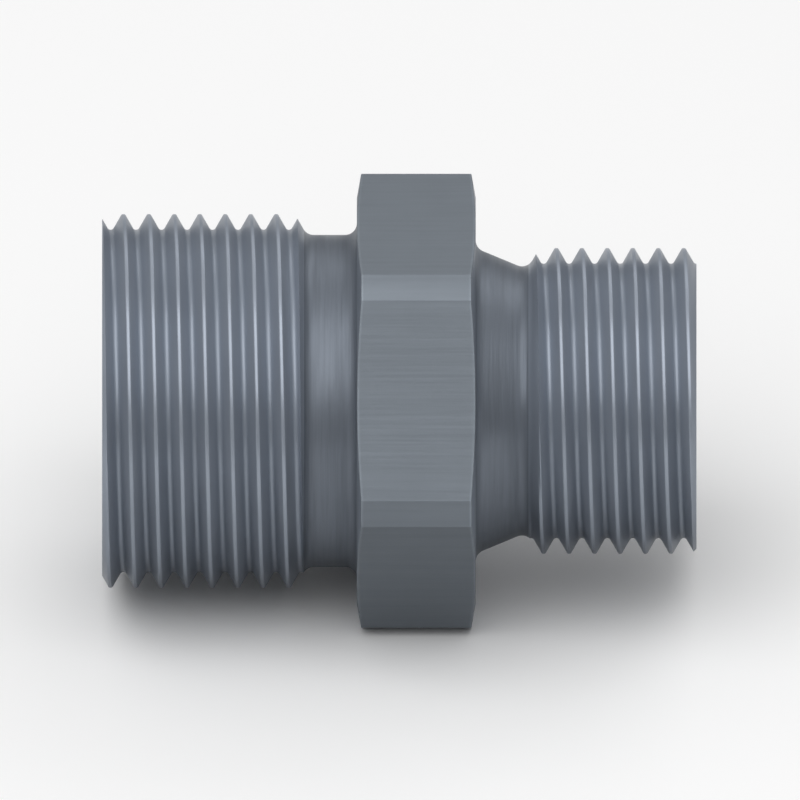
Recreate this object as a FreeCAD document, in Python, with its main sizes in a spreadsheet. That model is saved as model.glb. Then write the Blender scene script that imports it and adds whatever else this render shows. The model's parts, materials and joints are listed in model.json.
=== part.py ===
import FreeCAD, Part
import os
import Sketcher

# Straight hydraulic adapter, turned in one piece from hexagon bar. On the left is the tube end: a cylinder
# for the union nut's thread, a relief groove, and inside it the 24 degree cone and the socket of the tube.
# On the right is the port stud: a tapered undercut for the sealing ring, then a cylinder for the straight
# port thread. Both threads are plain cylinders of their outer diameter here. Between them stands the hexagon
# for the spanner.
#
# Lengths are millimetres and angles are degrees. The body is drawn with its axis along X and the tube end's
# face at X = 0, and then laid down on one flat of its hexagon, with the origin on the floor under the middle
# of its length.

SIZES = [
    ("tube_end_length", 15.0, "from the tube end's face to the hexagon"),
    ("hexagon_width", 7.0, "along the axis"),
    ("port_end_length", 13.0, "from the hexagon to the port end's face"),
    ("across_flats", 24.0, "of the hexagon"),
    ("corner_turned_off", 0.48, "radial depth that the lathe takes off the hexagon's corners"),
    ("hexagon_chamfer_angle", 10.0, "between a chamfer and the hexagon's end face"),
    ("hexagon_chamfer_inset", 0.05, "by which the chamfer's foot lies inside the flats"),
    ("tube_thread_diameter", 22.0, "outer diameter of the union nut's thread"),
    ("relief_width", 3.65, "from the end of the thread to the hexagon"),
    ("relief_depth", 1.225, "below the outer diameter of the thread"),
    ("relief_flank_angle", 60.0, "between the flank and the axis"),
    ("relief_root_radius", 0.7, "at both ends of the groove's floor"),
    ("port_thread_diameter", 18.0, "outer diameter of the port thread"),
    ("undercut_width", 3.75, "from the hexagon to the start of the thread"),
    ("undercut_taper_angle", 22.5, "between the ring's taper and the axis"),
    ("undercut_flank_angle", 60.0, "between the flank and the axis"),
    ("undercut_root_radius", 0.7, "between the taper and the flank"),
    ("shoulder_root_radius", 0.7, "between the hexagon's face and the taper"),
    ("tube_diameter", 15.0, "outside of the tube that the fitting holds"),
    ("tube_clearance", 0.2, "by which the socket is wider than the tube"),
    ("tube_wall", 1.5, "of the tube, whose bore the fitting continues"),
    ("socket_depth", 7.0, "from the face to the stop that the tube meets"),
    ("cone_flare", 1.05, "radial widening from the socket to the mouth"),
    ("cone_angle", 24.0, "full angle of the sealing cone"),
    ("tube_bore_depth", 20.0, "from the tube end's face"),
    ("drill_point_angle", 118.0, "full angle of the drill's point"),
    ("bore_step", 0.5, "radial step from the tube's bore to the stud's"),
    ("exit_chamfer", 0.3, "at 45 degrees, where the bore leaves the stud"),
]

# Places along the axis and radii that the corners below share.
HEXAGON_LEFT = "Sizes.tube_end_length"
HEXAGON_RIGHT = f"({HEXAGON_LEFT} + Sizes.hexagon_width)"
PORT_FACE = f"({HEXAGON_RIGHT} + Sizes.port_end_length)"
FLAT_RADIUS = "Sizes.across_flats / 2"
CORNER_RADIUS = f"({FLAT_RADIUS} / cos(30) - Sizes.corner_turned_off)"
CHAMFER_FOOT = f"({FLAT_RADIUS} - Sizes.hexagon_chamfer_inset)"
CHAMFER_DEPTH = f"(({CORNER_RADIUS} - {CHAMFER_FOOT}) * tan(Sizes.hexagon_chamfer_angle))"
TUBE_THREAD_RADIUS = "Sizes.tube_thread_diameter / 2"
TUBE_THREAD_END = f"({HEXAGON_LEFT} - Sizes.relief_width)"
RELIEF_RADIUS = f"({TUBE_THREAD_RADIUS} - Sizes.relief_depth)"
RELIEF_FOOT = f"({TUBE_THREAD_END} + Sizes.relief_depth / tan(Sizes.relief_flank_angle))"
PORT_THREAD_RADIUS = "Sizes.port_thread_diameter / 2"
PORT_THREAD_START = f"({HEXAGON_RIGHT} + Sizes.undercut_width)"
TAPER_SLOPE = "tan(Sizes.undercut_taper_angle)"
FLANK_SLOPE = "tan(Sizes.undercut_flank_angle)"
TAPER_LENGTH = f"(Sizes.undercut_width * {FLANK_SLOPE} / ({TAPER_SLOPE} + {FLANK_SLOPE}))"
UNDERCUT_RADIUS = f"({PORT_THREAD_RADIUS} - {TAPER_LENGTH} * {TAPER_SLOPE})"
SOCKET_RADIUS = "(Sizes.tube_diameter + Sizes.tube_clearance) / 2"
CONE_LENGTH = "(Sizes.cone_flare / tan(Sizes.cone_angle / 2))"
TUBE_BORE_RADIUS = "(Sizes.tube_diameter / 2 - Sizes.tube_wall)"
STUD_BORE_START = "(Sizes.tube_bore_depth + Sizes.bore_step / tan(Sizes.drill_point_angle / 2))"
STUD_BORE_RADIUS = f"({TUBE_BORE_RADIUS} - Sizes.bore_step)"

# Corners of the turned outside: name, distance along the axis, radius.
OUTSIDE = [
    ("tube_face_centre", "0", "0"),
    ("tube_face_rim", "0", TUBE_THREAD_RADIUS),
    ("tube_thread_end", TUBE_THREAD_END, TUBE_THREAD_RADIUS),
    ("relief_foot", RELIEF_FOOT, RELIEF_RADIUS),
    ("relief_shoulder", HEXAGON_LEFT, RELIEF_RADIUS),
    ("left_chamfer_foot", HEXAGON_LEFT, CHAMFER_FOOT),
    ("left_chamfer_top", f"{HEXAGON_LEFT} + {CHAMFER_DEPTH}", CORNER_RADIUS),
    ("right_chamfer_top", f"{HEXAGON_RIGHT} - {CHAMFER_DEPTH}", CORNER_RADIUS),
    ("right_chamfer_foot", HEXAGON_RIGHT, CHAMFER_FOOT),
    ("taper_start", HEXAGON_RIGHT, PORT_THREAD_RADIUS),
    ("undercut_root", f"{HEXAGON_RIGHT} + {TAPER_LENGTH}", UNDERCUT_RADIUS),
    ("port_thread_start", PORT_THREAD_START, PORT_THREAD_RADIUS),
    ("port_face_rim", PORT_FACE, PORT_THREAD_RADIUS),
    ("port_face_centre", PORT_FACE, "0"),
]

# The corners of the outside that are rounded, and by which radius.
OUTSIDE_ROOTS = {
    "relief_foot": "Sizes.relief_root_radius",
    "relief_shoulder": "Sizes.relief_root_radius",
    "taper_start": "Sizes.shoulder_root_radius",
    "undercut_root": "Sizes.undercut_root_radius",
}

# Corners of the bore, named and placed in the same way.
BORE = [
    ("mouth_centre", "0", "0"),
    ("mouth_rim", "0", f"{SOCKET_RADIUS} + Sizes.cone_flare"),
    ("cone_end", CONE_LENGTH, SOCKET_RADIUS),
    ("socket_end", "Sizes.socket_depth", SOCKET_RADIUS),
    ("tube_stop", "Sizes.socket_depth", TUBE_BORE_RADIUS),
    ("drill_shoulder", "Sizes.tube_bore_depth", TUBE_BORE_RADIUS),
    ("stud_bore_start", STUD_BORE_START, STUD_BORE_RADIUS),
    ("stud_bore_end", f"{PORT_FACE} - Sizes.exit_chamfer", STUD_BORE_RADIUS),
    ("exit_rim", PORT_FACE, f"{STUD_BORE_RADIUS} + Sizes.exit_chamfer"),
    ("exit_centre", PORT_FACE, "0"),
]

# The sketcher's own numbers for its two axes, its origin and the places on a line or circle.
HORIZONTAL_AXIS, VERTICAL_AXIS = -1, -2
ORIGIN_POINT = (-1, 1)
START, END, CENTRE = 1, 2, 3

UPRIGHT = FreeCAD.Vector(0, 0, 1)
HEXAGON_SIDES = 6


def make_sheet(doc):
    """The spreadsheet of driving sizes, each under its own alias."""
    sheet = doc.addObject("Spreadsheet::Sheet", "Sizes")
    for row, (alias, value, meaning) in enumerate(SIZES, start=1):
        sheet.set(f"A{row}", f"{alias}: {meaning}")
        sheet.set(f"B{row}", str(value))
        sheet.setAlias(f"B{row}", alias)
    doc.recompute()


def value_of(sketch, expression):
    """The number that an expression of the sheet's sizes gives."""
    return float(sketch.evalExpression(expression))


def new_sketch(body, name, role):
    """An empty sketch on one of the body's own origin planes."""
    sketch = body.newObject("Sketcher::SketchObject", name)
    plane = next(part for part in body.Origin.OriginFeatures if part.Role == role)
    sketch.AttachmentSupport = [(plane, "")]
    sketch.MapMode = "FlatFace"
    return sketch


def constrain(sketch, kind, *places):
    """Adds a constraint to the sketch and returns its number."""
    return sketch.addConstraint(Sketcher.Constraint(kind, *places))


def set_dimension(sketch, kind, name, expression, *places):
    """A named dimension of the sketch, bound to an expression of the sheet's sizes."""
    number = constrain(sketch, kind, *places, value_of(sketch, expression))
    sketch.renameConstraint(number, name)
    sketch.setExpression(f"Constraints.{name}", expression)


def add_loop(sketch, points):
    """Straight lines from each point to the next and back to the first, joined at their ends."""
    pairs = zip(points, points[1:] + points[:1])
    lines = [sketch.addGeometry(Part.LineSegment(start, end), False) for start, end in pairs]
    for line, following in zip(lines, lines[1:] + lines[:1]):
        constrain(sketch, "Coincident", line, END, following, START)
    return lines


def round_corner(sketch, line, name, expression):
    """Rounds the corner where a line starts and returns the point that is kept at the sharp corner."""
    arc = sketch.GeometryCount
    sketch.fillet(line, START, value_of(sketch, expression), True, True)
    set_dimension(sketch, "Radius", name, expression, arc)
    return arc + 1


def place_corner(sketch, corner, name, x, r):
    """Binds a corner's distance along the axis and its radius to the sheet."""
    if x == "0":
        constrain(sketch, "PointOnObject", corner, START, VERTICAL_AXIS)
    else:
        set_dimension(sketch, "DistanceX", f"{name}_x", x, *ORIGIN_POINT, corner, START)
    if r == "0":
        constrain(sketch, "PointOnObject", corner, START, HORIZONTAL_AXIS)
    else:
        set_dimension(sketch, "DistanceY", f"{name}_r", r, *ORIGIN_POINT, corner, START)


def draw_section(sketch, corners, roots):
    """Half of a turned section: a closed outline through the corners, with arcs at the roots."""
    points = [FreeCAD.Vector(value_of(sketch, x), value_of(sketch, r), 0) for _, x, r in corners]
    for line, (name, x, r) in zip(add_loop(sketch, points), corners):
        corner = line
        if name in roots:
            corner = round_corner(sketch, line, f"{name}_radius", roots[name])
        place_corner(sketch, corner, name, x, r)


def draw_circle(sketch, name, expression, construction=False):
    """A circle round the adapter's axis, with its radius bound to the sheet."""
    centre = FreeCAD.Vector(0, 0, 0)
    circle = sketch.addGeometry(Part.Circle(centre, UPRIGHT, value_of(sketch, expression)), construction)
    constrain(sketch, "Coincident", circle, CENTRE, *ORIGIN_POINT)
    set_dimension(sketch, "Radius", name, expression, circle)
    return circle


def draw_hexagon(sketch):
    """A regular hexagon about the axis that lies on a flat. Its sides touch the circle across flats."""
    inside = draw_circle(sketch, "flat_radius", FLAT_RADIUS, construction=True)
    first = FreeCAD.Vector(value_of(sketch, f"{FLAT_RADIUS} / cos(30)"), 0, 0)
    turns = [FreeCAD.Rotation(UPRIGHT, side * 360 / HEXAGON_SIDES) for side in range(HEXAGON_SIDES)]
    sides = add_loop(sketch, [turn.multVec(first) for turn in turns])
    for side in sides:
        constrain(sketch, "Tangent", side, inside)
    for side in sides[1:]:
        constrain(sketch, "Equal", sides[0], side)
    constrain(sketch, "Horizontal", sides[1])


def turn_section(body, kind, name, corners, roots):
    """A Revolution or a Groove of a half section, all the way round the adapter's axis."""
    sketch = new_sketch(body, f"{name}Section", "XY_Plane")
    draw_section(sketch, corners, roots)
    feature = body.newObject(f"PartDesign::{kind}", name)
    feature.Profile = sketch
    feature.ReferenceAxis = (sketch, ["H_Axis"])
    feature.Angle = 360.0
    return feature


def mill_hexagon(body):
    """Cuts all that lies outside the hexagon, along the whole length. Both ends lie inside it."""
    sketch = new_sketch(body, "HexagonSection", "YZ_Plane")
    draw_hexagon(sketch)
    draw_circle(sketch, "reach_of_cut", "Sizes.across_flats")
    feature = body.newObject("PartDesign::Pocket", "Hexagon")
    feature.Profile = sketch
    feature.Type = "ThroughAll"
    feature.Reversed = True
    return feature


def make_adapter(doc):
    """The whole adapter: turned outside with rounded roots, hexagon and stepped bore."""
    body = doc.addObject("PartDesign::Body", "Adapter")
    body.Label = "adapter_body"
    outside = turn_section(body, "Revolution", "Outside", OUTSIDE, OUTSIDE_ROOTS)
    hexagon = mill_hexagon(body)
    bore = turn_section(body, "Groove", "Bore", BORE, {})
    body.setExpression("Placement.Base.x", f"-{PORT_FACE} / 2")
    body.setExpression("Placement.Base.z", FLAT_RADIUS)
    doc.recompute()
    check_cuts([outside, hexagon, bore])
    return body


def check_cuts(features):
    """Stops unless each feature of the list leaves less material than the one before it."""
    for before, after in zip(features, features[1:]):
        if not after.Shape.Volume < before.Shape.Volume:
            raise RuntimeError(f"{after.Name} cuts nothing")


def check_document(doc):
    """Stops if any object of the document failed to compute."""
    failed = [item.Name for item in doc.Objects if {"Invalid", "Error"} & set(item.State)]
    if failed:
        raise RuntimeError(f"failed objects: {', '.join(failed)}")


def export(body):
    """Writes a body that is one valid solid to its own file."""
    shape = body.Shape
    if shape.isNull() or not shape.isValid() or len(shape.Solids) != 1:
        raise RuntimeError(f"{body.Label} is not one valid solid")
    shape.exportStep(f"parts/{body.Label}.step")
    box = shape.optimalBoundingBox(False)
    size = f"{box.XLength:.2f} x {box.YLength:.2f} x {box.ZLength:.2f} mm"
    print(f"{body.Label}: {size}, {shape.Volume:.1f} mm3")


def main():
    """Builds the document and writes the adapter."""
    os.makedirs("parts", exist_ok=True)
    doc = FreeCAD.newDocument("straight_hydraulic_adapter")
    make_sheet(doc)
    adapter = make_adapter(doc)
    check_document(doc)
    export(adapter)


main()
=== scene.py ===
"""Looks of a straight hydraulic adapter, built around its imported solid.

The adapter is one turned and milled piece of steel, so it is one closed mesh here too. It is laid out as
patches that follow each other round the section: the tube end, the hexagon, the port stud and the bore.
Both threads are cut as real helical grooves. Lengths are metres and angles radians, in the solid's frame.
"""
import json
import logging
import math
from dataclasses import dataclass
from enum import Enum, IntEnum
from functools import reduce

import bmesh
import bpy
import numpy as np
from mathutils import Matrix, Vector


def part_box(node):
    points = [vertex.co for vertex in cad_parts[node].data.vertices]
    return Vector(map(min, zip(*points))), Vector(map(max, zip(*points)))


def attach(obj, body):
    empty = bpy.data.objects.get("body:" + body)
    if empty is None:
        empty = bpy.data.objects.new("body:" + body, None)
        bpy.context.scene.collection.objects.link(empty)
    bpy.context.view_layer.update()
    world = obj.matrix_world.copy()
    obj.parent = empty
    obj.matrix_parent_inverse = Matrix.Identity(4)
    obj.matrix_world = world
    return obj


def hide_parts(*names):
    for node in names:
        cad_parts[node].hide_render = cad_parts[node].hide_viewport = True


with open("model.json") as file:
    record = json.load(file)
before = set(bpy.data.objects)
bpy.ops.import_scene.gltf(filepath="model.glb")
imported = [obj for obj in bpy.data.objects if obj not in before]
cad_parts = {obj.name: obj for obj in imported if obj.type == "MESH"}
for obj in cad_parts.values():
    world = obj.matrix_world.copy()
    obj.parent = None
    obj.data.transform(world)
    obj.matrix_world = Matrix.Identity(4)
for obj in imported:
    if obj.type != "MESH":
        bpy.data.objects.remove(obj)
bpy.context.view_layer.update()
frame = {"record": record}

MM = 0.001
NODE = "adapter_body"
BODY = "root"
MOUNTS = {mount["name"]: mount for mount in frame["record"]["mounts"]}
LOG = logging.getLogger("adapter")

# The angle from one corner of the hexagon to the next.
SIDES = 6
SECTOR = math.tau / SIDES

# How deep a place lies in a groove or in the bore, from 0 in the open to 1 at the deepest.
# The steel's colour is darkened by it as painted shade.
MOUTH, SHOULDER, INSIDE, DEEP = 0.3, 0.5, 0.6, 0.8

# Shares of an end face's width at which it has a ring of points.
FACE_RINGS = (0.0, 0.15, 0.4, 0.7, 0.9, 1.0)

# A quarter turn as a shader counts it, and the sockets of node trees.
QUARTER_TURN = 0.25
NUMBER = "NodeSocketFloat"
Socket = bpy.types.NodeSocket


def mount_radius(name: str) -> float:
    """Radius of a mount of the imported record, in metres."""
    return MOUNTS[name]["dims"]["r_mm"] * MM


class Surface(IntEnum):
    """The differently worked surfaces of the adapter, each with its own finish."""

    TURNED = 0
    FLAT = 1
    THREAD = 2
    BORE = 3


class Marks(Enum):
    """What working the steel leaves on it."""

    RINGS = "rings of the turning tool"
    GRAIN = "streaks along the drawn bar"


@dataclass(frozen=True)
class Envelope:
    """The adapter's place and reach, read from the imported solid.

    The tube end faces -X and the port end +X. The axis lies half a hexagon above the floor.
    """

    left: float
    right: float
    axis_height: float

    @classmethod
    def from_frame(cls) -> "Envelope":
        """Reads the solid's box."""
        low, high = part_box(NODE)
        return cls(float(low.x), float(high.x), float(low.z + high.z) / 2)


@dataclass(frozen=True)
class Columns:
    """The angles round the axis at which every patch has its points.

    An angle is counted from +Y towards +Z, so a flat's middle lies at 30 degrees and every 60 degrees from
    there, and a corner at 0. The turned strip at each corner has its own two edges among the columns.
    """

    across_flats: float
    corner_radius: float
    per_strip: int = 4
    per_flat: int = 28

    def half_flat(self) -> float:
        """Angle from a flat's middle to its edge: acos(half across flats / corner radius)."""
        return math.acos(self.across_flats / 2 / self.corner_radius)

    def angles(self) -> np.ndarray:
        """All angles from 0 to a full turn, both included.

        Each of six sectors runs from one corner to the next: half a strip, a flat, half a strip.

        Returns:
            The angles, with the last equal to the first plus a full turn.
        """
        edge = SECTOR / 2 - self.half_flat()
        strip = np.linspace(0.0, edge, self.per_strip // 2 + 1)
        flat = np.linspace(edge, SECTOR - edge, self.per_flat + 1)
        one = np.concatenate([strip[:-1], flat[:-1], SECTOR - strip[:0:-1]])
        turns = [one + side * SECTOR for side in range(SIDES)]
        return np.append(np.concatenate(turns), math.tau)

    def hexagon_radius(self) -> np.ndarray:
        """Radius by column: half across flats / cos(angle off the flat's middle), cut at the corners."""
        off_middle = np.mod(self.angles(), SECTOR) - SECTOR / 2
        return np.minimum(self.across_flats / 2 / np.cos(off_middle), self.corner_radius)


@dataclass
class Patch:
    """A grid of points: one row for each step along the section, one column for each angle.

    Attributes:
        x: Distance of each point along the axis.
        r: Its distance from the axis.
        surface: The finish that the patch takes.
        edge: How near each point is to a worked edge, from 0 to 1.
        depth: How deep each point lies in a groove, from 0 to 1.
    """

    x: np.ndarray
    r: np.ndarray
    surface: Surface
    edge: np.ndarray
    depth: np.ndarray


def turned_patch(profile: np.ndarray, surface: Surface, columns: Columns) -> Patch:
    """A turned surface: each point of the profile goes all the way round the axis.

    Args:
        profile: One line for each row: distance along the axis, radius, edge share, depth share.
        surface: The finish of the patch.
        columns: The angles round the axis.

    Returns:
        The patch, whose x(i, j) = profile x(i) and r(i, j) = profile r(i).
    """
    count = len(columns.angles())
    x, r, edge, depth = (np.repeat(profile[:, [k]], count, axis=1) for k in range(4))
    return Patch(x, r, surface, edge, depth)


@dataclass(frozen=True)
class Corner:
    """A corner of a turned section.

    Attributes:
        x: Distance along the axis.
        r: Radius.
        root: Radius of the rounding at the corner, or 0 for a corner that keeps an edge.
        broken: Width by which an edge is broken on both sides, or 0 for none.
        depth: How deep the corner lies in a groove, from 0 to 1.
    """

    x: float
    r: float
    root: float = 0.0
    broken: float = 0.0
    depth: float = 0.0


@dataclass(frozen=True)
class Section:
    """A run of corners, joined by straight lines, with arcs at the roots and small flats at the edges."""

    corners: tuple[Corner, ...]
    arc_step: float = math.radians(7)
    longest: float = 0.5 * MM
    guard: float = 0.1 * MM

    def profile(self) -> np.ndarray:
        """Points along the section.

        A root of radius R that turns by the angle a starts R tan(a / 2) before its corner. Its points are
        centre + R (cos t, sin t), with t running evenly through a. An edge is cut off at equal distances
        before and after its corner. A straight line gets points at most `longest` apart, and one at `guard`
        from each end.

        Returns:
            Rows of distance along the axis, radius, edge share and depth share.
        """
        places = np.array([(corner.x, corner.r) for corner in self.corners])
        steps = np.diff(places, axis=0)
        ways = steps / np.hypot(steps[:, :1], steps[:, 1:])
        rows: list[np.ndarray] = []
        for index, corner in enumerate(self.corners):
            arrive, leave = ways[max(index - 1, 0)], ways[min(index, len(ways) - 1)]
            bend, share = self._bend(places[index], arrive, leave, corner)
            points = np.column_stack([bend, np.full(len(bend), share), np.full(len(bend), corner.depth)])
            if rows:
                rows.append(self._straight(rows[-1][-1], points[0]))
            rows.append(points)
        return np.concatenate(rows)

    def _bend(
        self, here: np.ndarray, arrive: np.ndarray, leave: np.ndarray, corner: Corner
    ) -> tuple[np.ndarray, float]:
        """The points that stand for one corner, and their edge share.

        Args:
            here: The sharp corner.
            arrive: Direction of the line that ends there.
            leave: Direction of the line that starts there.
            corner: The corner's own sizes.

        Returns:
            The points of the arc, the two ends of the small flat, or the corner itself.
        """
        cross = arrive[0] * leave[1] - arrive[1] * leave[0]
        turn = math.atan2(cross, float(arrive @ leave))
        if corner.root > 0:
            side = math.copysign(1.0, turn)
            start = here - arrive * corner.root * math.tan(abs(turn) / 2)
            centre = start + side * corner.root * np.array([-arrive[1], arrive[0]])
            first = math.atan2(*(start - centre)[::-1])
            steps = max(2, math.ceil(abs(turn) / self.arc_step))
            t = first + np.linspace(0.0, turn, steps + 1)
            return centre + corner.root * np.column_stack([np.cos(t), np.sin(t)]), 0.0
        if corner.broken > 0:
            return np.array([here - arrive * corner.broken, here + leave * corner.broken]), 1.0
        return here[None, :], 0.0

    def _straight(self, start: np.ndarray, end: np.ndarray) -> np.ndarray:
        """Points between two ends of a line, without the ends themselves.

        Args:
            start: Last point before the line: place, edge share, depth share.
            end: First point after it.

        Returns:
            The points start + s (end - start), with the edge share gone at `guard` from each end.
        """
        length = float(np.hypot(*(end - start)[:2]))
        if length < 3 * self.guard:
            return np.empty((0, 4))
        guard = self.guard / length
        steps = max(1, math.ceil(length / self.longest))
        s = np.linspace(guard, 1 - guard, steps + 1)
        points = start + s[:, None] * (end - start)
        points[:, 2] = 0.0
        return points


@dataclass(frozen=True)
class Thread:
    """A right-handed metric thread: 60 degree flanks, a flat crest with broken edges and a rounded root.

    With the full height H = pitch * sqrt(3) / 2, the crest is pitch / 8 wide, and the root is an arc of
    radius H / 6 that touches both flanks at 5 H / 8 below the crest.
    """

    major_radius: float
    pitch: float = 1.5 * MM
    flank_slope: float = math.sqrt(3)
    crest_break: float = 0.03 * MM
    break_slope: float = math.tan(math.radians(30))
    root_steps: int = 8
    flank_steps: int = 3

    @property
    def height(self) -> float:
        """Height H of the sharp triangle."""
        return self.pitch * self.flank_slope / 2

    @property
    def half_crest(self) -> float:
        """Distance from the crest's middle to its edge."""
        return self.pitch / 16

    @property
    def flank_end(self) -> float:
        """Distance from the crest's middle at which the flank runs into the root's arc."""
        return 3 * self.pitch / 8

    @property
    def root_radius(self) -> float:
        """Radius of the root's arc."""
        return self.height / 6

    @property
    def minor_radius(self) -> float:
        """Radius at the root's deepest line: major radius - 17 H / 24."""
        return self.major_radius - 17 * self.height / 24

    def depth(self, along: np.ndarray) -> np.ndarray:
        """Depth of the groove below the crest.

        With u the distance from the nearest crest's middle: 0 on the crest, then the flank
        flank slope * (u - half crest), and past the flank's end the root's arc
        13 H / 24 + sqrt(root radius^2 - (pitch / 2 - u)^2). The crest's edge is broken by a line that
        starts `crest_break` before it and meets the flank half as far after it.

        Args:
            along: Distance along the axis from a crest's middle.

        Returns:
            The depth at each place.
        """
        u = np.abs(np.mod(along + self.pitch / 2, self.pitch) - self.pitch / 2)
        flank = self.flank_slope * (u - self.half_crest)
        inside = self.root_radius ** 2 - (self.pitch / 2 - u) ** 2
        root = 13 * self.height / 24 + np.sqrt(np.maximum(inside, 0.0))
        depth = np.where(u > self.flank_end, root, np.maximum(flank, 0.0))
        broken = np.minimum(u - self.half_crest + self.crest_break, 1.5 * self.crest_break)
        return np.maximum(depth, broken * self.break_slope)

    def rows_of_a_pitch(self) -> np.ndarray:
        """Places across one pitch at which the profile gets a row.

        They are both ends of the crest's broken edge, even steps down the flank, the root's
        pitch / 2 + root radius * sin(t) with t in even steps across the arc, and the same back up.

        Returns:
            Distances from a crest's middle, rising to the next crest.
        """
        top = np.array([self.half_crest - self.crest_break, self.half_crest + self.crest_break / 2])
        flank = np.linspace(top[-1], self.flank_end, self.flank_steps + 1)[1:-1]
        reach = math.atan(self.flank_slope)
        t = np.linspace(-reach, reach, self.root_steps + 1)
        root = self.pitch / 2 + self.root_radius * np.sin(t)
        half = np.concatenate([top, flank])
        return np.concatenate([half, root, self.pitch - half[::-1]])


@dataclass(frozen=True)
class ThreadZone:
    """The stretch of the adapter that carries a thread, which is cut into a turned outline.

    The top `worn_and_highlit` share of the thread's depth counts as its worked edge, painted paler as wear
    and painted highlight.
    """

    thread: Thread
    outline: np.ndarray
    worn_and_highlit: float = 0.06

    def radius(self, x: np.ndarray, angle: np.ndarray) -> tuple[np.ndarray, np.ndarray]:
        """The thread's radius, major radius - depth(x - pitch * angle / full turn), and the outline's."""
        cut = self.thread.major_radius - self.thread.depth(x - self.thread.pitch * angle / math.tau)
        return cut, np.interp(x, self.outline[:, 0], self.outline[:, 1])

    def patch(self, columns: Columns) -> Patch:
        """The threaded surface.

        Row i starts at x(i) and climbs by pitch * angle / full turn, so that every row keeps its place on the
        thread's profile. Rows past an end of the zone are held at that end. The radius is the smaller of the
        thread's and the outline's. Where one takes over from the other, the nearer of two rows is moved to
        the crossing, x(i) + s (x(i + 1) - x(i)), with s = d(i) / (d(i) - d(i + 1)) for the difference d.

        Args:
            columns: The angles round the axis.

        Returns:
            The patch.
        """
        first, last = self.outline[0, 0], self.outline[-1, 0]
        pitch = self.thread.pitch
        turns = np.arange(math.floor(first / pitch) - 2, math.ceil(last / pitch) + 2)
        starts = (turns[:, None] * pitch + self.thread.rows_of_a_pitch()).ravel()
        angle = columns.angles()[None, :]
        x = np.clip(starts[:, None] + pitch * angle / math.tau, first, last)
        cut, turned = self.radius(x, angle)
        gap = cut - turned
        crossing = (gap[:-1] * gap[1:] < 0) & (x[1:] > x[:-1])
        s = np.where(crossing, gap[:-1] / np.where(crossing, gap[:-1] - gap[1:], 1.0), 0.0)
        meeting = x[:-1] + s * (x[1:] - x[:-1])
        nearer_low = crossing & (s < 0.5) & (x[:-1] > first)
        nearer_high = crossing & (s >= 0.5) & (x[1:] < last)
        x[:-1] = np.where(nearer_low, meeting, x[:-1])
        x[1:] = np.where(nearer_high, meeting, x[1:])
        cut, turned = self.radius(x, angle)
        r = np.minimum(cut, turned)
        groove = (self.thread.major_radius - r) / (self.thread.major_radius - self.thread.minor_radius)
        crest = np.clip(1 - groove / self.worn_and_highlit, 0.0, 1.0)
        return Patch(x, r, Surface.THREAD, crest, np.clip(groove, 0.0, 1.0))


@dataclass(frozen=True)
class TubeEnd:
    """The larger end: the union nut's thread and the relief groove beside the hexagon."""

    left: float
    hexagon_left: float
    relief_width: float = 3.65 * MM
    relief_depth: float = 1.225 * MM
    relief_root: float = 0.7 * MM
    flank_slope: float = math.tan(math.radians(60))
    end_chamfer: float = 0.3 * MM
    thread: Thread = Thread(mount_radius("tube_thread"))

    def section(self, chamfer_foot: float) -> Section:
        """The turned outline from the end face to the foot of the hexagon's chamfer.

        Args:
            chamfer_foot: Radius at which the hexagon's face ends.

        Returns:
            The section, from left to right.
        """
        major = self.thread.major_radius
        thread_end = self.hexagon_left - self.relief_width
        foot = thread_end + self.relief_depth / self.flank_slope
        floor = major - self.relief_depth
        return Section((
            Corner(self.left, major - self.end_chamfer),
            Corner(self.left + self.end_chamfer, major),
            Corner(thread_end, major),
            Corner(foot, floor, root=self.relief_root, depth=DEEP),
            Corner(self.hexagon_left, floor, root=self.relief_root, depth=DEEP),
            Corner(self.hexagon_left, chamfer_foot),
        ))

    def patches(self, columns: Columns, chamfer_foot: float) -> list[Patch]:
        """The thread and the relief groove.

        Args:
            columns: The angles round the axis.
            chamfer_foot: Radius at which the hexagon's face ends.

        Returns:
            The two patches, from left to right.
        """
        profile = self.section(chamfer_foot).profile()
        clear = np.flatnonzero(profile[:, 1] < self.thread.minor_radius)[0]
        thread = ThreadZone(self.thread, profile[: clear + 1]).patch(columns)
        return [thread, turned_patch(profile[clear:], Surface.TURNED, columns)]


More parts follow.
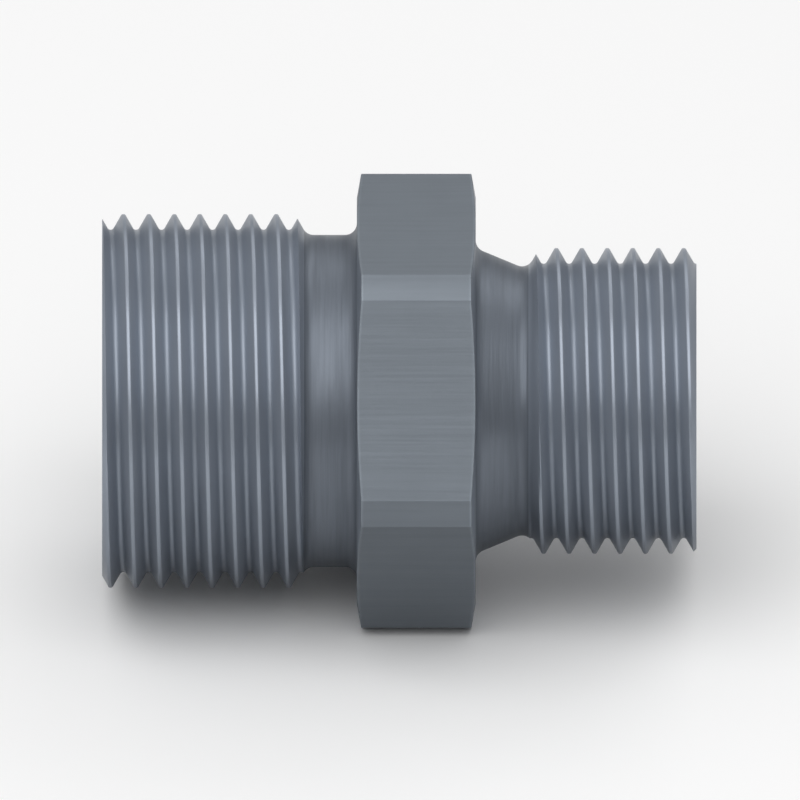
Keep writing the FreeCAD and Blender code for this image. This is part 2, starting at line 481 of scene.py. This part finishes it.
@dataclass(frozen=True)
class PortStud:
    """The smaller end: the tapered undercut for the sealing ring and the port thread."""

    hexagon_right: float
    right: float
    undercut_width: float = 3.75 * MM
    undercut_root: float = 0.7 * MM
    shoulder_root: float = 0.7 * MM
    taper_slope: float = math.tan(math.radians(22.5))
    flank_slope: float = math.tan(math.radians(60))
    end_chamfer: float = 0.3 * MM
    thread: Thread = Thread(mount_radius("port_thread"))

    def section(self, chamfer_foot: float) -> Section:
        """The turned outline from the foot of the hexagon's chamfer to the end face.

        The taper falls from the thread's outer radius at the hexagon, and the flank climbs back to it over
        the undercut's width, so they meet at width * flank slope / (taper slope + flank slope).

        Args:
            chamfer_foot: Radius at which the hexagon's face starts.

        Returns:
            The section, from left to right.
        """
        major = self.thread.major_radius
        taper = self.undercut_width * self.flank_slope / (self.taper_slope + self.flank_slope)
        return Section((
            Corner(self.hexagon_right, chamfer_foot),
            Corner(self.hexagon_right, major, root=self.shoulder_root, depth=SHOULDER),
            Corner(
                self.hexagon_right + taper, major - taper * self.taper_slope,
                root=self.undercut_root, depth=DEEP,
            ),
            Corner(self.hexagon_right + self.undercut_width, major),
            Corner(self.right - self.end_chamfer, major),
            Corner(self.right, major - self.end_chamfer),
        ))

    def patches(self, columns: Columns, chamfer_foot: float) -> list[Patch]:
        """The undercut and the thread.

        Args:
            columns: The angles round the axis.
            chamfer_foot: Radius at which the hexagon's face starts.

        Returns:
            The two patches, from left to right.
        """
        profile = self.section(chamfer_foot).profile()
        clear = np.flatnonzero(profile[:, 1] < self.thread.minor_radius)[-1]
        thread = ThreadZone(self.thread, profile[clear:]).patch(columns)
        return [turned_patch(profile[: clear + 1], Surface.TURNED, columns), thread]


@dataclass(frozen=True)
class Hexagon:
    """The hexagon for the spanner, with its corners turned off and both ends chamfered."""

    left: float
    right: float
    across_flats: float
    corner_turned_off: float = 0.48 * MM
    chamfer_slope: float = math.tan(math.radians(10))
    chamfer_inset: float = 0.05 * MM
    edge_break: float = 0.035 * MM
    crease_guard: float = 0.05 * MM
    edge_row: float = 0.02
    first_row: float = 0.1
    rows: int = 8

    @property
    def corner_radius(self) -> float:
        """Radius of the turned strips at the corners."""
        return self.across_flats / 2 / math.cos(SECTOR / 2) - self.corner_turned_off

    @property
    def chamfer_foot(self) -> float:
        """Radius at which the chamfers start, just inside the flats."""
        return self.across_flats / 2 - self.chamfer_inset

    def columns(self) -> Columns:
        """The angles that suit the hexagon, which every patch then has."""
        return Columns(self.across_flats, self.corner_radius)

    def patches(self) -> list[Patch]:
        """The left chamfer, the six flats with their corner strips, and the right chamfer.

        The chamfer's cone reaches the flats' radius r at (r - foot) * slope from the end face, which bends
        its edge on each flat into a hyperbola. The cone and the flat both end a small step before that edge,
        and the flats' patch has a narrow strip from one to the other. A row close to the chamfer's foot
        keeps the crease there crisp. A flat has rows at its ends, at `edge_row` of its length from each,
        and evenly between `first_row` from one end and from the other.

        Returns:
            The three patches, from left to right.
        """
        outer = self.columns().hexagon_radius()
        reach = (outer - self.chamfer_foot) * self.chamfer_slope
        foot = np.full_like(outer, self.chamfer_foot)
        inner = np.maximum(outer - self.edge_break, (foot + outer) / 2)
        beside = foot + np.minimum(self.crease_guard, (inner - foot) / 2)
        cone_r = np.array([foot, beside, inner])
        cone_x = (cone_r - self.chamfer_foot) * self.chamfer_slope
        cone_edge = np.zeros_like(cone_r)
        cone_edge[-1] = 1.0
        start = self.left + reach + self.edge_break
        end = self.right - reach - self.edge_break
        between = np.linspace(self.first_row, 1 - self.first_row, self.rows)
        share = np.array([0.0, self.edge_row, *between, 1 - self.edge_row, 1.0])[:, None]
        level = start + share * (end - start)
        flat_x = np.concatenate([self.left + cone_x[-1:], level, self.right - cone_x[-1:]])
        flat_r = np.concatenate([inner[None, :], np.broadcast_to(outer, level.shape), inner[None, :]])
        flat_edge = np.zeros_like(flat_x)
        flat_edge[[0, 1, -2, -1]] = 1.0
        left = Patch(self.left + cone_x, cone_r, Surface.TURNED, cone_edge, 0 * cone_x)
        flats = Patch(flat_x, flat_r, Surface.FLAT, flat_edge, 0 * flat_x)
        right = Patch((self.right - cone_x)[::-1], cone_r[::-1], Surface.TURNED, cone_edge[::-1], 0 * cone_x)
        return [left, flats, right]


@dataclass(frozen=True)
class Bore:
    """The stepped passage: stud bore, drill shoulder, tube bore, tube stop, socket and sealing cone."""

    left: float
    right: float
    exit_chamfer: float = 0.3 * MM
    drill_slope: float = math.tan(math.radians(59))
    tube_bore_depth: float = 20.0 * MM
    socket_depth: float = 7.0 * MM
    cone_flare: float = 1.05 * MM
    cone_slope: float = math.tan(math.radians(12))
    edge_break: float = 0.05 * MM
    longest: float = 2.0 * MM
    stud_radius: float = mount_radius("stud_bore")
    tube_radius: float = mount_radius("tube_bore")
    socket_radius: float = mount_radius("tube_socket")

    @property
    def mouth_radius(self) -> float:
        """Radius of the sealing cone at the tube end's face."""
        return self.socket_radius + self.cone_flare

    def section(self) -> Section:
        """The bore's section.

        Returns:
            The section, from the port end's rim to the tube end's.
        """
        shoulder = self.left + self.tube_bore_depth
        stud_start = shoulder + (self.tube_radius - self.stud_radius) / self.drill_slope
        stop = self.left + self.socket_depth
        cone_end = self.left + self.cone_flare / self.cone_slope
        return Section((
            Corner(self.right, self.stud_radius + self.exit_chamfer + self.edge_break),
            Corner(self.right, self.stud_radius + self.exit_chamfer, broken=self.edge_break / 2),
            Corner(self.right - self.exit_chamfer, self.stud_radius, broken=self.edge_break, depth=MOUTH),
            Corner(stud_start, self.stud_radius, broken=self.edge_break, depth=INSIDE),
            Corner(shoulder, self.tube_radius, depth=DEEP),
            Corner(stop, self.tube_radius, broken=self.edge_break, depth=INSIDE),
            Corner(stop, self.socket_radius, depth=DEEP),
            Corner(cone_end, self.socket_radius, depth=MOUTH),
            Corner(self.left, self.mouth_radius, broken=self.edge_break),
            Corner(self.left, self.mouth_radius + 2 * self.edge_break),
        ), longest=self.longest)

    def patch(self, columns: Columns) -> Patch:
        """The whole passage, from the port end to the tube end."""
        return turned_patch(self.section().profile(), Surface.BORE, columns)


def face_patch(inner: np.ndarray, outer: np.ndarray, x: float, outwards: bool) -> Patch:
    """A turned end face: a flat ring between two rims.

    The radius is inner + s (outer - inner) at each angle, and the ring keeps one distance along the axis.

    Args:
        inner: Radius of the inner rim at each angle.
        outer: Radius of the outer rim at each angle.
        x: Place of the face along the axis.
        outwards: True if the rows run from the inner rim to the outer one.

    Returns:
        The patch.
    """
    s = np.array(FACE_RINGS)[:, None]
    if not outwards:
        s = s[::-1]
    r = inner + s * (outer - inner)
    rim = np.broadcast_to((s == 1.0).astype(float), r.shape)
    return Patch(np.full_like(r, x), r, Surface.TURNED, rim, 0 * r)


@dataclass
class Adapter:
    """The whole adapter: its sub-assemblies in order round the section, joined into one closed mesh."""

    envelope: Envelope
    tube_end_length: float = 15.0 * MM
    hexagon_width: float = 7.0 * MM
    weld: float = 0.0003 * MM
    smooth_up_to: float = math.radians(18)

    def __post_init__(self) -> None:
        """Places the sub-assemblies along the axis."""
        left, right = self.envelope.left, self.envelope.right
        hexagon_left = left + self.tube_end_length
        hexagon_right = hexagon_left + self.hexagon_width
        self.tube_end = TubeEnd(left, hexagon_left)
        self.hexagon = Hexagon(hexagon_left, hexagon_right, 2 * self.envelope.axis_height)
        self.port_stud = PortStud(hexagon_right, right)
        self.bore = Bore(left, right)

    def patches(self) -> list[Patch]:
        """All patches, each starting where the one before it ends, round the closed section.

        Returns:
            The patches from the tube end's face, over the outside, and back through the bore.
        """
        columns = self.hexagon.columns()
        foot = self.hexagon.chamfer_foot
        thread, relief = self.tube_end.patches(columns, foot)
        undercut, port_thread = self.port_stud.patches(columns, foot)
        bore = self.bore.patch(columns)
        tube_face = face_patch(bore.r[-1], thread.r[0], self.envelope.left, outwards=True)
        port_face = face_patch(bore.r[0], port_thread.r[-1], self.envelope.right, outwards=False)
        outside = [thread, relief, *self.hexagon.patches(), undercut, port_thread]
        return [tube_face, *outside, port_face, bore]

    def build(self) -> bpy.types.Object:
        """Makes the mesh of all patches.

        A point of row i and column j lies at (x, r cos(angle), axis height + r sin(angle)). Each cell
        between rows i and i + 1 of one patch and columns j and j + 1 is two triangles. They meet on the
        line from (i, j + 1) to (i + 1, j), because that is the way a ridge crosses the rows of a thread.
        Points closer than `weld` become one.

        Returns:
            The new object, at the origin, unturned and unscaled.
        """
        patches = self.patches()
        keys = ("x", "r", "edge", "depth")
        x, r, edge, depth = (np.concatenate([getattr(patch, key) for patch in patches]) for key in keys)
        angles = self.hexagon.columns().angles()
        z = self.envelope.axis_height + r * np.sin(angles)
        places = np.stack([x, r * np.cos(angles), z], axis=-1).reshape(-1, 3)
        rows = [len(patch.x) for patch in patches]
        low = np.delete(np.arange(len(x)), np.cumsum(rows) - 1)
        index = np.arange(x.size).reshape(x.shape)
        here, beside = index[low, :-1], index[low, 1:]
        after, across = index[low + 1, :-1], index[low + 1, 1:]
        faces = np.stack([beside, across, after, beside, after, here], axis=-1).reshape(-1, 3)
        surface = np.repeat([patch.surface for patch in patches], rows)[low]
        surfaces = np.repeat(surface, 2 * (len(angles) - 1))
        mesh = mesh_from_triangles("adapter", places, faces, surfaces, {"edge": edge, "depth": depth})
        weld_mesh(mesh, self.weld)
        mesh.set_sharp_from_angle(angle=self.smooth_up_to)
        piece = bpy.data.objects.new("adapter", mesh)
        bpy.context.scene.collection.objects.link(piece)
        return piece

    def dress(self, piece: bpy.types.Object) -> None:
        """Gives each worked surface its finish."""
        for surface in Surface:
            piece.data.materials.append(FINISHES[surface].material(self.envelope.axis_height))


def mesh_from_triangles(
    name: str, places: np.ndarray, faces: np.ndarray, surfaces: np.ndarray, shares: dict[str, np.ndarray]
) -> bpy.types.Mesh:
    """A mesh of triangles, with a material number on each face and shares at its points.

    Args:
        name: Name of the mesh.
        places: One point a line.
        faces: Three point numbers a line.
        surfaces: Material number of each face.
        shares: Name of each point attribute and its values.

    Returns:
        The mesh.
    """
    mesh = bpy.data.meshes.new(name)
    mesh.vertices.add(len(places))
    mesh.vertices.foreach_set("co", places.astype(np.float32).ravel())
    mesh.loops.add(faces.size)
    mesh.loops.foreach_set("vertex_index", faces.astype(np.int32).ravel())
    mesh.polygons.add(len(faces))
    mesh.polygons.foreach_set("loop_start", np.arange(0, faces.size, 3, dtype=np.int32))
    mesh.polygons.foreach_set("material_index", surfaces.astype(np.int32))
    for key, values in shares.items():
        attribute = mesh.attributes.new(key, "FLOAT", "POINT")
        attribute.data.foreach_set("value", values.astype(np.float32).ravel())
    mesh.update(calc_edges=True)
    return mesh


def weld_mesh(mesh: bpy.types.Mesh, distance: float) -> None:
    """Makes points within a distance of each other one point, and drops the faces that vanish.

    Args:
        mesh: The mesh, changed in place.
        distance: Largest distance between points that become one.
    """
    work = bmesh.new()
    work.from_mesh(mesh)
    bmesh.ops.remove_doubles(work, verts=work.verts, dist=distance)
    bmesh.ops.dissolve_degenerate(work, dist=distance, edges=work.edges)
    work.to_mesh(mesh)
    work.free()
    mesh.polygons.foreach_set("use_smooth", np.ones(len(mesh.polygons), bool))
    mesh.update()


@dataclass(frozen=True)
class NodeBoard:
    """A node tree with short calls to add nodes and links."""

    tree: bpy.types.NodeTree

    def node(self, kind: str, settings: dict | None = None, inputs: dict | None = None) -> bpy.types.Node:
        """Adds a node.

        Args:
            kind: The node's type name.
            settings: Properties of the node.
            inputs: Values or sockets for its inputs, by name or number.

        Returns:
            The node.
        """
        made = self.tree.nodes.new(kind)
        for key, value in (settings or {}).items():
            setattr(made, key, value)
        for key, value in (inputs or {}).items():
            if isinstance(value, Socket):
                self.tree.links.new(value, made.inputs[key])
            else:
                made.inputs[key].default_value = value
        return made

    def math(self, operation: str, *values: float | Socket) -> Socket:
        """The result of one sum on numbers or sockets."""
        made = self.node("ShaderNodeMath", {"operation": operation}, dict(enumerate(values)))
        return made.outputs[0]

    def times(self, *factors: float | Socket) -> Socket:
        """The product of numbers or sockets."""
        return reduce(lambda product, factor: self.math("MULTIPLY", product, factor), factors)

    def remap(self, value: Socket, low: float, high: float, to_low: float, to_high: float) -> Socket:
        """The value carried from one range to another and held within it."""
        inputs = {"Value": value, "From Min": low, "From Max": high, "To Min": to_low, "To Max": to_high}
        return self.node("ShaderNodeMapRange", {"clamp": True}, inputs).outputs[0]

    def noise(self, inputs: dict, dimensions: str = "3D") -> Socket:
        """The value of a noise texture, from 0 to 1."""
        return self.node("ShaderNodeTexNoise", {"noise_dimensions": dimensions}, inputs).outputs[0]

    def group(self, effect: "TurningMarks | DrawnGrain | PlatedTint", inputs: dict) -> bpy.types.Node:
        """Places a node group, which is built on its first use."""
        tree = bpy.data.node_groups.get(effect.name) or effect.build()
        return self.node("ShaderNodeGroup", {"node_tree": tree}, inputs)


def new_group(
    name: str, inputs: dict[str, str | float], outputs: dict[str, str]
) -> tuple[NodeBoard, bpy.types.NodeOutputs, bpy.types.NodeInputs]:
    """An empty shader node group with named sockets.

    Args:
        name: Name of the group.
        inputs: Value of each number that goes in, or the socket type of any other input.
        outputs: Socket type of each output.

    Returns:
        The group's board, the sockets that come in and the sockets that go out.
    """
    tree = bpy.data.node_groups.new(name, "ShaderNodeTree")
    for key, value in inputs.items():
        kind = value if isinstance(value, str) else NUMBER
        socket = tree.interface.new_socket(name=key, in_out="INPUT", socket_type=kind)
        if kind == NUMBER:
            socket.default_value = value
    for key, kind in outputs.items():
        tree.interface.new_socket(name=key, in_out="OUTPUT", socket_type=kind)
    board = NodeBoard(tree)
    return board, board.node("NodeGroupInput").outputs, board.node("NodeGroupOutput").inputs


@dataclass(frozen=True)
class TurningMarks:
    """Fine rings that a turning tool leaves round the axis, on faces, cylinders and cones alike.

    The pattern is noise of four numbers: x and the distance from the axis at a fine scale, and the direction
    round the axis at a coarse one, so that it changes quickly along the section and slowly round it.
    """

    name: str = "Turning marks"
    broad_share: float = 0.22
    detail: float = 2.0
    roughness: float = 0.6
    least_radius: float = 0.001 * MM

    def build(self) -> bpy.types.NodeTree:
        """Builds the group.

        Returns:
            The tree, with inputs Vector, Axis Height, Lines and Drift and outputs Fine and Broad.
        """
        inputs = {"Vector": "NodeSocketVector", "Axis Height": 0.0, "Lines": 4000.0, "Drift": 1.5}
        board, given, leave = new_group(self.name, inputs, {"Fine": NUMBER, "Broad": NUMBER})
        split = board.node("ShaderNodeSeparateXYZ", inputs={0: given["Vector"]}).outputs
        up = board.math("SUBTRACT", split["Z"], given["Axis Height"])
        square = board.math("ADD", board.times(split["Y"], split["Y"]), board.times(up, up))
        radius = board.math("SQRT", square)
        safe = board.math("MAXIMUM", radius, self.least_radius)
        for key, share in (("Fine", 1.0), ("Broad", self.broad_share)):
            lines = board.times(given["Lines"], share)
            parts = {
                "X": board.times(split["X"], lines),
                "Y": board.times(board.math("DIVIDE", split["Y"], safe), given["Drift"]),
                "Z": board.times(board.math("DIVIDE", up, safe), given["Drift"]),
            }
            ring = {
                "Vector": board.node("ShaderNodeCombineXYZ", inputs=parts).outputs[0],
                "W": board.times(radius, lines),
                "Scale": 1.0, "Detail": self.detail, "Roughness": self.roughness,
            }
            board.tree.links.new(board.noise(ring, "4D"), leave[key])
        return board.tree


@dataclass(frozen=True)
class DrawnGrain:
    """Long faint streaks that drawing the bar leaves along the hexagon's flats."""

    name: str = "Drawn grain"
    broad_scale: float = 0.3
    detail: float = 3.0
    roughness: float = 0.55

    def build(self) -> bpy.types.NodeTree:
        """Builds the group.

        Returns:
            The tree, with inputs Vector, Across and Along and outputs Fine and Broad.
        """
        inputs = {"Vector": "NodeSocketVector", "Across": 3500.0, "Along": 120.0}
        board, given, leave = new_group(self.name, inputs, {"Fine": NUMBER, "Broad": NUMBER})
        split = board.node("ShaderNodeSeparateXYZ", inputs={0: given["Vector"]}).outputs
        parts = {
            "X": board.times(split["X"], given["Along"]),
            "Y": board.times(split["Y"], given["Across"]),
            "Z": board.times(split["Z"], given["Across"]),
        }
        vector = board.node("ShaderNodeCombineXYZ", inputs=parts).outputs[0]
        layers = {"Vector": vector, "Detail": self.detail, "Roughness": self.roughness}
        for key, scale in (("Fine", 1.0), ("Broad", self.broad_scale)):
            board.tree.links.new(board.noise({**layers, "Scale": scale}), leave[key])
        return board.tree


@dataclass(frozen=True)
class PlatedTint:
    """The colour of the plated steel, with painted shade in its grooves and a painted highlight on its edges.

    It is Colour * (1 + 2 (cloud - 1/2) Cloud + 2 (Marks - 1/2) Streaks) * (1 - depth * the shade's amount) *
    (1 + paleness).
    The cloud is noise, so the steel is a little uneven and streaked by its marks. Deep in grooves it is
    painted darker as shade, and on worked edges it is paler, as wear and painted highlight, by the paleness,
    which is edge * the amount given for it * the cloud carried from `patchy_from` to `patchy_to`.
    """

    name: str = "Plated tint"
    scale: float = 260.0
    detail: float = 4.0
    roughness: float = 0.6
    patchy_from: tuple[float, float] = (0.35, 0.6)
    patchy_to: tuple[float, float] = (0.5, 1.0)

    def build(self) -> bpy.types.NodeTree:
        """Builds the group.

        Returns:
            The tree, with the inputs below and outputs Colour and the edges' paleness, from wear and painted
            highlight.
        """
        inputs = {
            "Colour": "NodeSocketColor", "Vector": "NodeSocketVector", "Marks": 0.5,
            "Streaks": 0.2, "Cloud": 0.06, "Painted Recess Shade": 0.25, "Wear And Highlight": 0.3,
        }
        outputs = {"Colour": "NodeSocketColor", "Worn And Highlit": NUMBER}
        board, given, leave = new_group(self.name, inputs, outputs)
        layers = {"Scale": self.scale, "Detail": self.detail, "Roughness": self.roughness}
        cloud = board.noise({"Vector": given["Vector"], **layers})
        swing = board.times(board.math("SUBTRACT", cloud, 0.5), given["Cloud"])
        streak = board.times(board.math("SUBTRACT", given["Marks"], 0.5), given["Streaks"])
        level = board.math("MULTIPLY_ADD", board.math("ADD", swing, streak), 2.0, 1.0)
        # Painted shade: the colour darkens with the depth of a groove or of the bore.
        depth = board.node("ShaderNodeAttribute", {"attribute_name": "depth"}).outputs["Fac"]
        painted_recess_shade = board.math("SUBTRACT", 1.0, board.times(depth, given["Painted Recess Shade"]))
        # Paler worked edges: partly wear, partly painted highlight.
        edge = board.node("ShaderNodeAttribute", {"attribute_name": "edge"}).outputs["Fac"]
        patchy = board.remap(cloud, *self.patchy_from, *self.patchy_to)
        worn_and_highlit = board.times(edge, patchy, given["Wear And Highlight"])
        total = board.times(level, painted_recess_shade, board.math("ADD", worn_and_highlit, 1.0))
        parts = {0: given["Colour"], "Scale": total}
        scaled = board.node("ShaderNodeVectorMath", {"operation": "SCALE"}, parts).outputs[0]
        board.tree.links.new(scaled, leave["Colour"])
        board.tree.links.new(worn_and_highlit, leave["Worn And Highlit"])
        return board.tree


@dataclass(frozen=True)
class SteelFinish:
    """One way in which the plated steel is worked.

    Attributes:
        name: Name of the material.
        colour: Colour that the steel sends back, as linear shares.
        metallic: How far the surface acts as bare metal.
        roughness: Middle roughness.
        roughness_swing: How far the marks take it to either side.
        glare: How much of a mirror's shine is left in a glancing view.
        marks: What the work leaves on the surface.
        mark_height: Height of the marks.
        streaks: How far the marks change the colour.
        drag: How much further a highlight spreads across the rings than along them.
        painted_recess_shade: How much darker the steel is painted deep in its grooves, as painted shade.
        wear_and_highlight: How much paler it is on its edges, as wear and painted highlight.
        polish: How much less rough the steel is on its worn edges.
        marks_used: Values of the broad marks that give the ends of the swing.
    """

    name: str
    colour: tuple[float, float, float] = (0.235, 0.264, 0.308)
    metallic: float = 0.5
    roughness: float = 0.44
    roughness_swing: float = 0.08
    glare: float = 0.5
    marks: Marks = Marks.RINGS
    mark_height: float = 0.030 * MM
    streaks: float = 0.2
    drag: float = 0.6
    painted_recess_shade: float = 0.25
    wear_and_highlight: float = 0.3
    polish: float = 0.25
    marks_used: tuple[float, float] = (0.3, 0.7)

    def material(self, axis_height: float) -> bpy.types.Material:
        """Builds the material.

        Args:
            axis_height: Height of the adapter's axis, about which the turning marks run.

        Returns:
            The material, which reads the piece's own coordinates and attributes.
        """
        made = bpy.data.materials.new(self.name)
        made.use_nodes = True
        made.node_tree.nodes.clear()
        board = NodeBoard(made.node_tree)
        place = board.node("ShaderNodeTexCoord").outputs["Object"]
        if self.marks is Marks.GRAIN:
            marks = board.group(DrawnGrain(), {"Vector": place}).outputs
        else:
            marks = board.group(TurningMarks(), {"Vector": place, "Axis Height": axis_height}).outputs
        tint = board.group(PlatedTint(), {
            "Colour": (*self.colour, 1.0), "Vector": place, "Marks": marks["Fine"],
            "Streaks": self.streaks, "Painted Recess Shade": self.painted_recess_shade, "Wear And Highlight": self.wear_and_highlight,
        }).outputs
        low, high = self.roughness - self.roughness_swing, self.roughness + self.roughness_swing
        rough = board.remap(marks["Broad"], *self.marks_used, low, high)
        smoother = board.times(tint["Worn And Highlit"], -self.polish)
        relief = {"Height": marks["Fine"], "Distance": self.mark_height, "Strength": 1.0}
        inputs = {
            "Base Color": tint["Colour"],
            "Metallic": self.metallic,
            "Roughness": board.math("ADD", rough, smoother),
            "Normal": board.node("ShaderNodeBump", inputs=relief).outputs["Normal"],
            "Specular IOR Level": self.glare / 2,
            "Specular Tint": (self.glare, self.glare, self.glare, 1.0),
        }
        if self.marks is Marks.RINGS:
            inputs |= self._spread_across_rings(board, place, axis_height)
        shader = board.node("ShaderNodeBsdfPrincipled", inputs=inputs)
        board.node("ShaderNodeOutputMaterial", inputs={"Surface": shader.outputs[0]})
        return made

    def _spread_across_rings(self, board: NodeBoard, place: Socket, axis_height: float) -> dict:
        """Stretches highlights across the rings, whose direction at (x, y, z) is (0, axis height - z, y).

        Args:
            board: The material's board.
            place: The piece's own coordinates.
            axis_height: Height of the adapter's axis.

        Returns:
            Inputs of the shader.
        """
        split = board.node("ShaderNodeSeparateXYZ", inputs={0: place}).outputs
        parts = {"Y": board.math("SUBTRACT", axis_height, split["Z"]), "Z": split["Y"]}
        along = board.node("ShaderNodeCombineXYZ", inputs=parts).outputs[0]
        return {"Tangent": along, "Anisotropic": self.drag, "Anisotropic Rotation": QUARTER_TURN}


FINISHES = {
    Surface.TURNED: SteelFinish("turned steel"),
    Surface.FLAT: SteelFinish(
        "drawn steel", colour=(0.200, 0.226, 0.256), roughness=0.40,
        marks=Marks.GRAIN, mark_height=0.008 * MM, streaks=0.08,
    ),
    # Threaded steel is lighter than the turned steel: painted light that offsets the shade in the thread's
    # grooves.
    Surface.THREAD: SteelFinish(
        "threaded steel", colour=(0.330, 0.368, 0.428), roughness=0.40,
        mark_height=0.002 * MM, streaks=0.05, painted_recess_shade=0.05, wear_and_highlight=0.1,
    ),
    # The bore is painted darker deep inside, as painted shade.
    Surface.BORE: SteelFinish("bored steel", painted_recess_shade=0.4),
}


@dataclass(frozen=True)
class Softbox:
    """A large soft lamp that looks at the adapter, with its width, height and watts."""

    name: str
    place: tuple[float, float, float]
    size: tuple[float, float]
    power: float

    def build(self, target: Vector) -> None:
        """Adds the lamp.

        Args:
            target: The point that it looks at.
        """
        data = bpy.data.lights.new(self.name, "AREA")
        data.shape = "RECTANGLE"
        data.size, data.size_y = self.size
        data.energy = self.power
        lamp = bpy.data.objects.new(self.name, data)
        lamp.location = self.place
        lamp.rotation_euler = (target - lamp.location).to_track_quat("-Z", "Y").to_euler()
        bpy.context.scene.collection.objects.link(lamp)


@dataclass(frozen=True)
class Studio:
    """A plain pale floor, soft lamps, a grey surround and the photograph's side view.

    The photograph is a parallel view, square to the axis and to one flat of the hexagon. That flat faces 30
    degrees upwards here, because the adapter lies on another one.
    """

    envelope: Envelope
    elevation: float = math.radians(30)
    view_width: float = 47.11 * MM
    aim_along: float = 0.041 * MM
    aim_up: float = 0.053 * MM
    camera_distance: float = 0.4
    clip_start: float = 0.01
    floor_size: float = 3.0
    floor_roughness: float = 0.9
    floor_level: float = 0.98
    floor_bounce: float = 0.12
    sky_at_horizon: float = 0.22
    sky_overhead: float = 0.65
    lamps: tuple[Softbox, ...] = (
        Softbox("overhead softbox", (-0.12, -0.28, 0.55), (0.80, 0.70), 2.7),
        Softbox("back fill", (0.25, 0.50, 0.45), (0.50, 0.40), 0.6),
    )

    def build(self) -> None:
        """Makes the floor, the surround, the lamps and the camera."""
        target = Vector((0.0, 0.0, self.envelope.axis_height))
        self._floor()
        self._world()
        for lamp in self.lamps:
            lamp.build(target)
        self._camera(target)
        bpy.context.scene.view_settings.view_transform = "Standard"

    def _floor(self) -> None:
        """A large level sheet just under the adapter."""
        half = self.floor_size / 2
        corners = [(-half, -half, 0), (half, -half, 0), (half, half, 0), (-half, half, 0)]
        mesh = bpy.data.meshes.new("floor")
        mesh.from_pydata(corners, [], [(0, 1, 2, 3)])
        paint = bpy.data.materials.new("pale floor")
        paint.use_nodes = True
        shader = paint.node_tree.nodes["Principled BSDF"]
        shader.inputs["Roughness"].default_value = self.floor_roughness
        shader.inputs["Specular IOR Level"].default_value = 0.0
        board = NodeBoard(paint.node_tree)
        ray = board.node("ShaderNodeLightPath").outputs
        seen = board.math("MAXIMUM", ray["Is Camera Ray"], ray["Is Glossy Ray"])
        seen = board.math("MAXIMUM", seen, ray["Is Transmission Ray"])
        level = board.remap(seen, 0.0, 1.0, self.floor_bounce, self.floor_level)
        paint.node_tree.links.new(level, shader.inputs["Base Color"])
        mesh.materials.append(paint)
        floor = bpy.data.objects.new("floor", mesh)
        bpy.context.scene.collection.objects.link(floor)

    def _world(self) -> None:
        """A grey surround that grows lighter towards the top."""
        world = bpy.data.worlds.new("surround")
        world.use_nodes = True
        light = world.node_tree.nodes["Background"]
        light.inputs["Color"].default_value = (1.0, 1.0, 1.0, 1.0)
        board = NodeBoard(world.node_tree)
        direction = board.node("ShaderNodeTexCoord").outputs["Generated"]
        height = board.node("ShaderNodeSeparateXYZ", inputs={0: direction}).outputs["Z"]
        level = board.remap(height, 0.0, 1.0, self.sky_at_horizon, self.sky_overhead)
        world.node_tree.links.new(level, light.inputs["Strength"])
        bpy.context.scene.world = world

    def _camera(self, target: Vector) -> None:
        """The photograph's view.

        Args:
            target: The middle of the adapter's axis.
        """
        towards = Vector((0.0, -math.cos(self.elevation), math.sin(self.elevation)))
        up = Vector((0.0, math.sin(self.elevation), math.cos(self.elevation)))
        aim = target + Vector((self.aim_along, 0.0, 0.0)) + up * self.aim_up
        data = bpy.data.cameras.new("camera")
        data.type = "ORTHO"
        data.ortho_scale = self.view_width
        data.clip_start = self.clip_start
        camera = bpy.data.objects.new("camera", data)
        camera.location = aim + towards * self.camera_distance
        camera.rotation_euler = (-towards).to_track_quat("-Z", "Y").to_euler()
        bpy.context.scene.collection.objects.link(camera)
        bpy.context.scene.camera = camera


def main() -> None:
    """Builds the adapter and the studio, and reports each piece."""
    logging.basicConfig(level=logging.INFO, format="%(name)s: %(message)s")
    envelope = Envelope.from_frame()
    adapter = Adapter(envelope)
    piece = adapter.build()
    adapter.dress(piece)
    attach(piece, BODY)
    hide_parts(NODE)
    LOG.info("%s: %d points, %d faces", piece.name, len(piece.data.vertices), len(piece.data.polygons))
    Studio(envelope).build()
    LOG.info("studio: floor, %d lamps and camera", len(Studio.lamps))


if __name__ == "__main__":
    main()
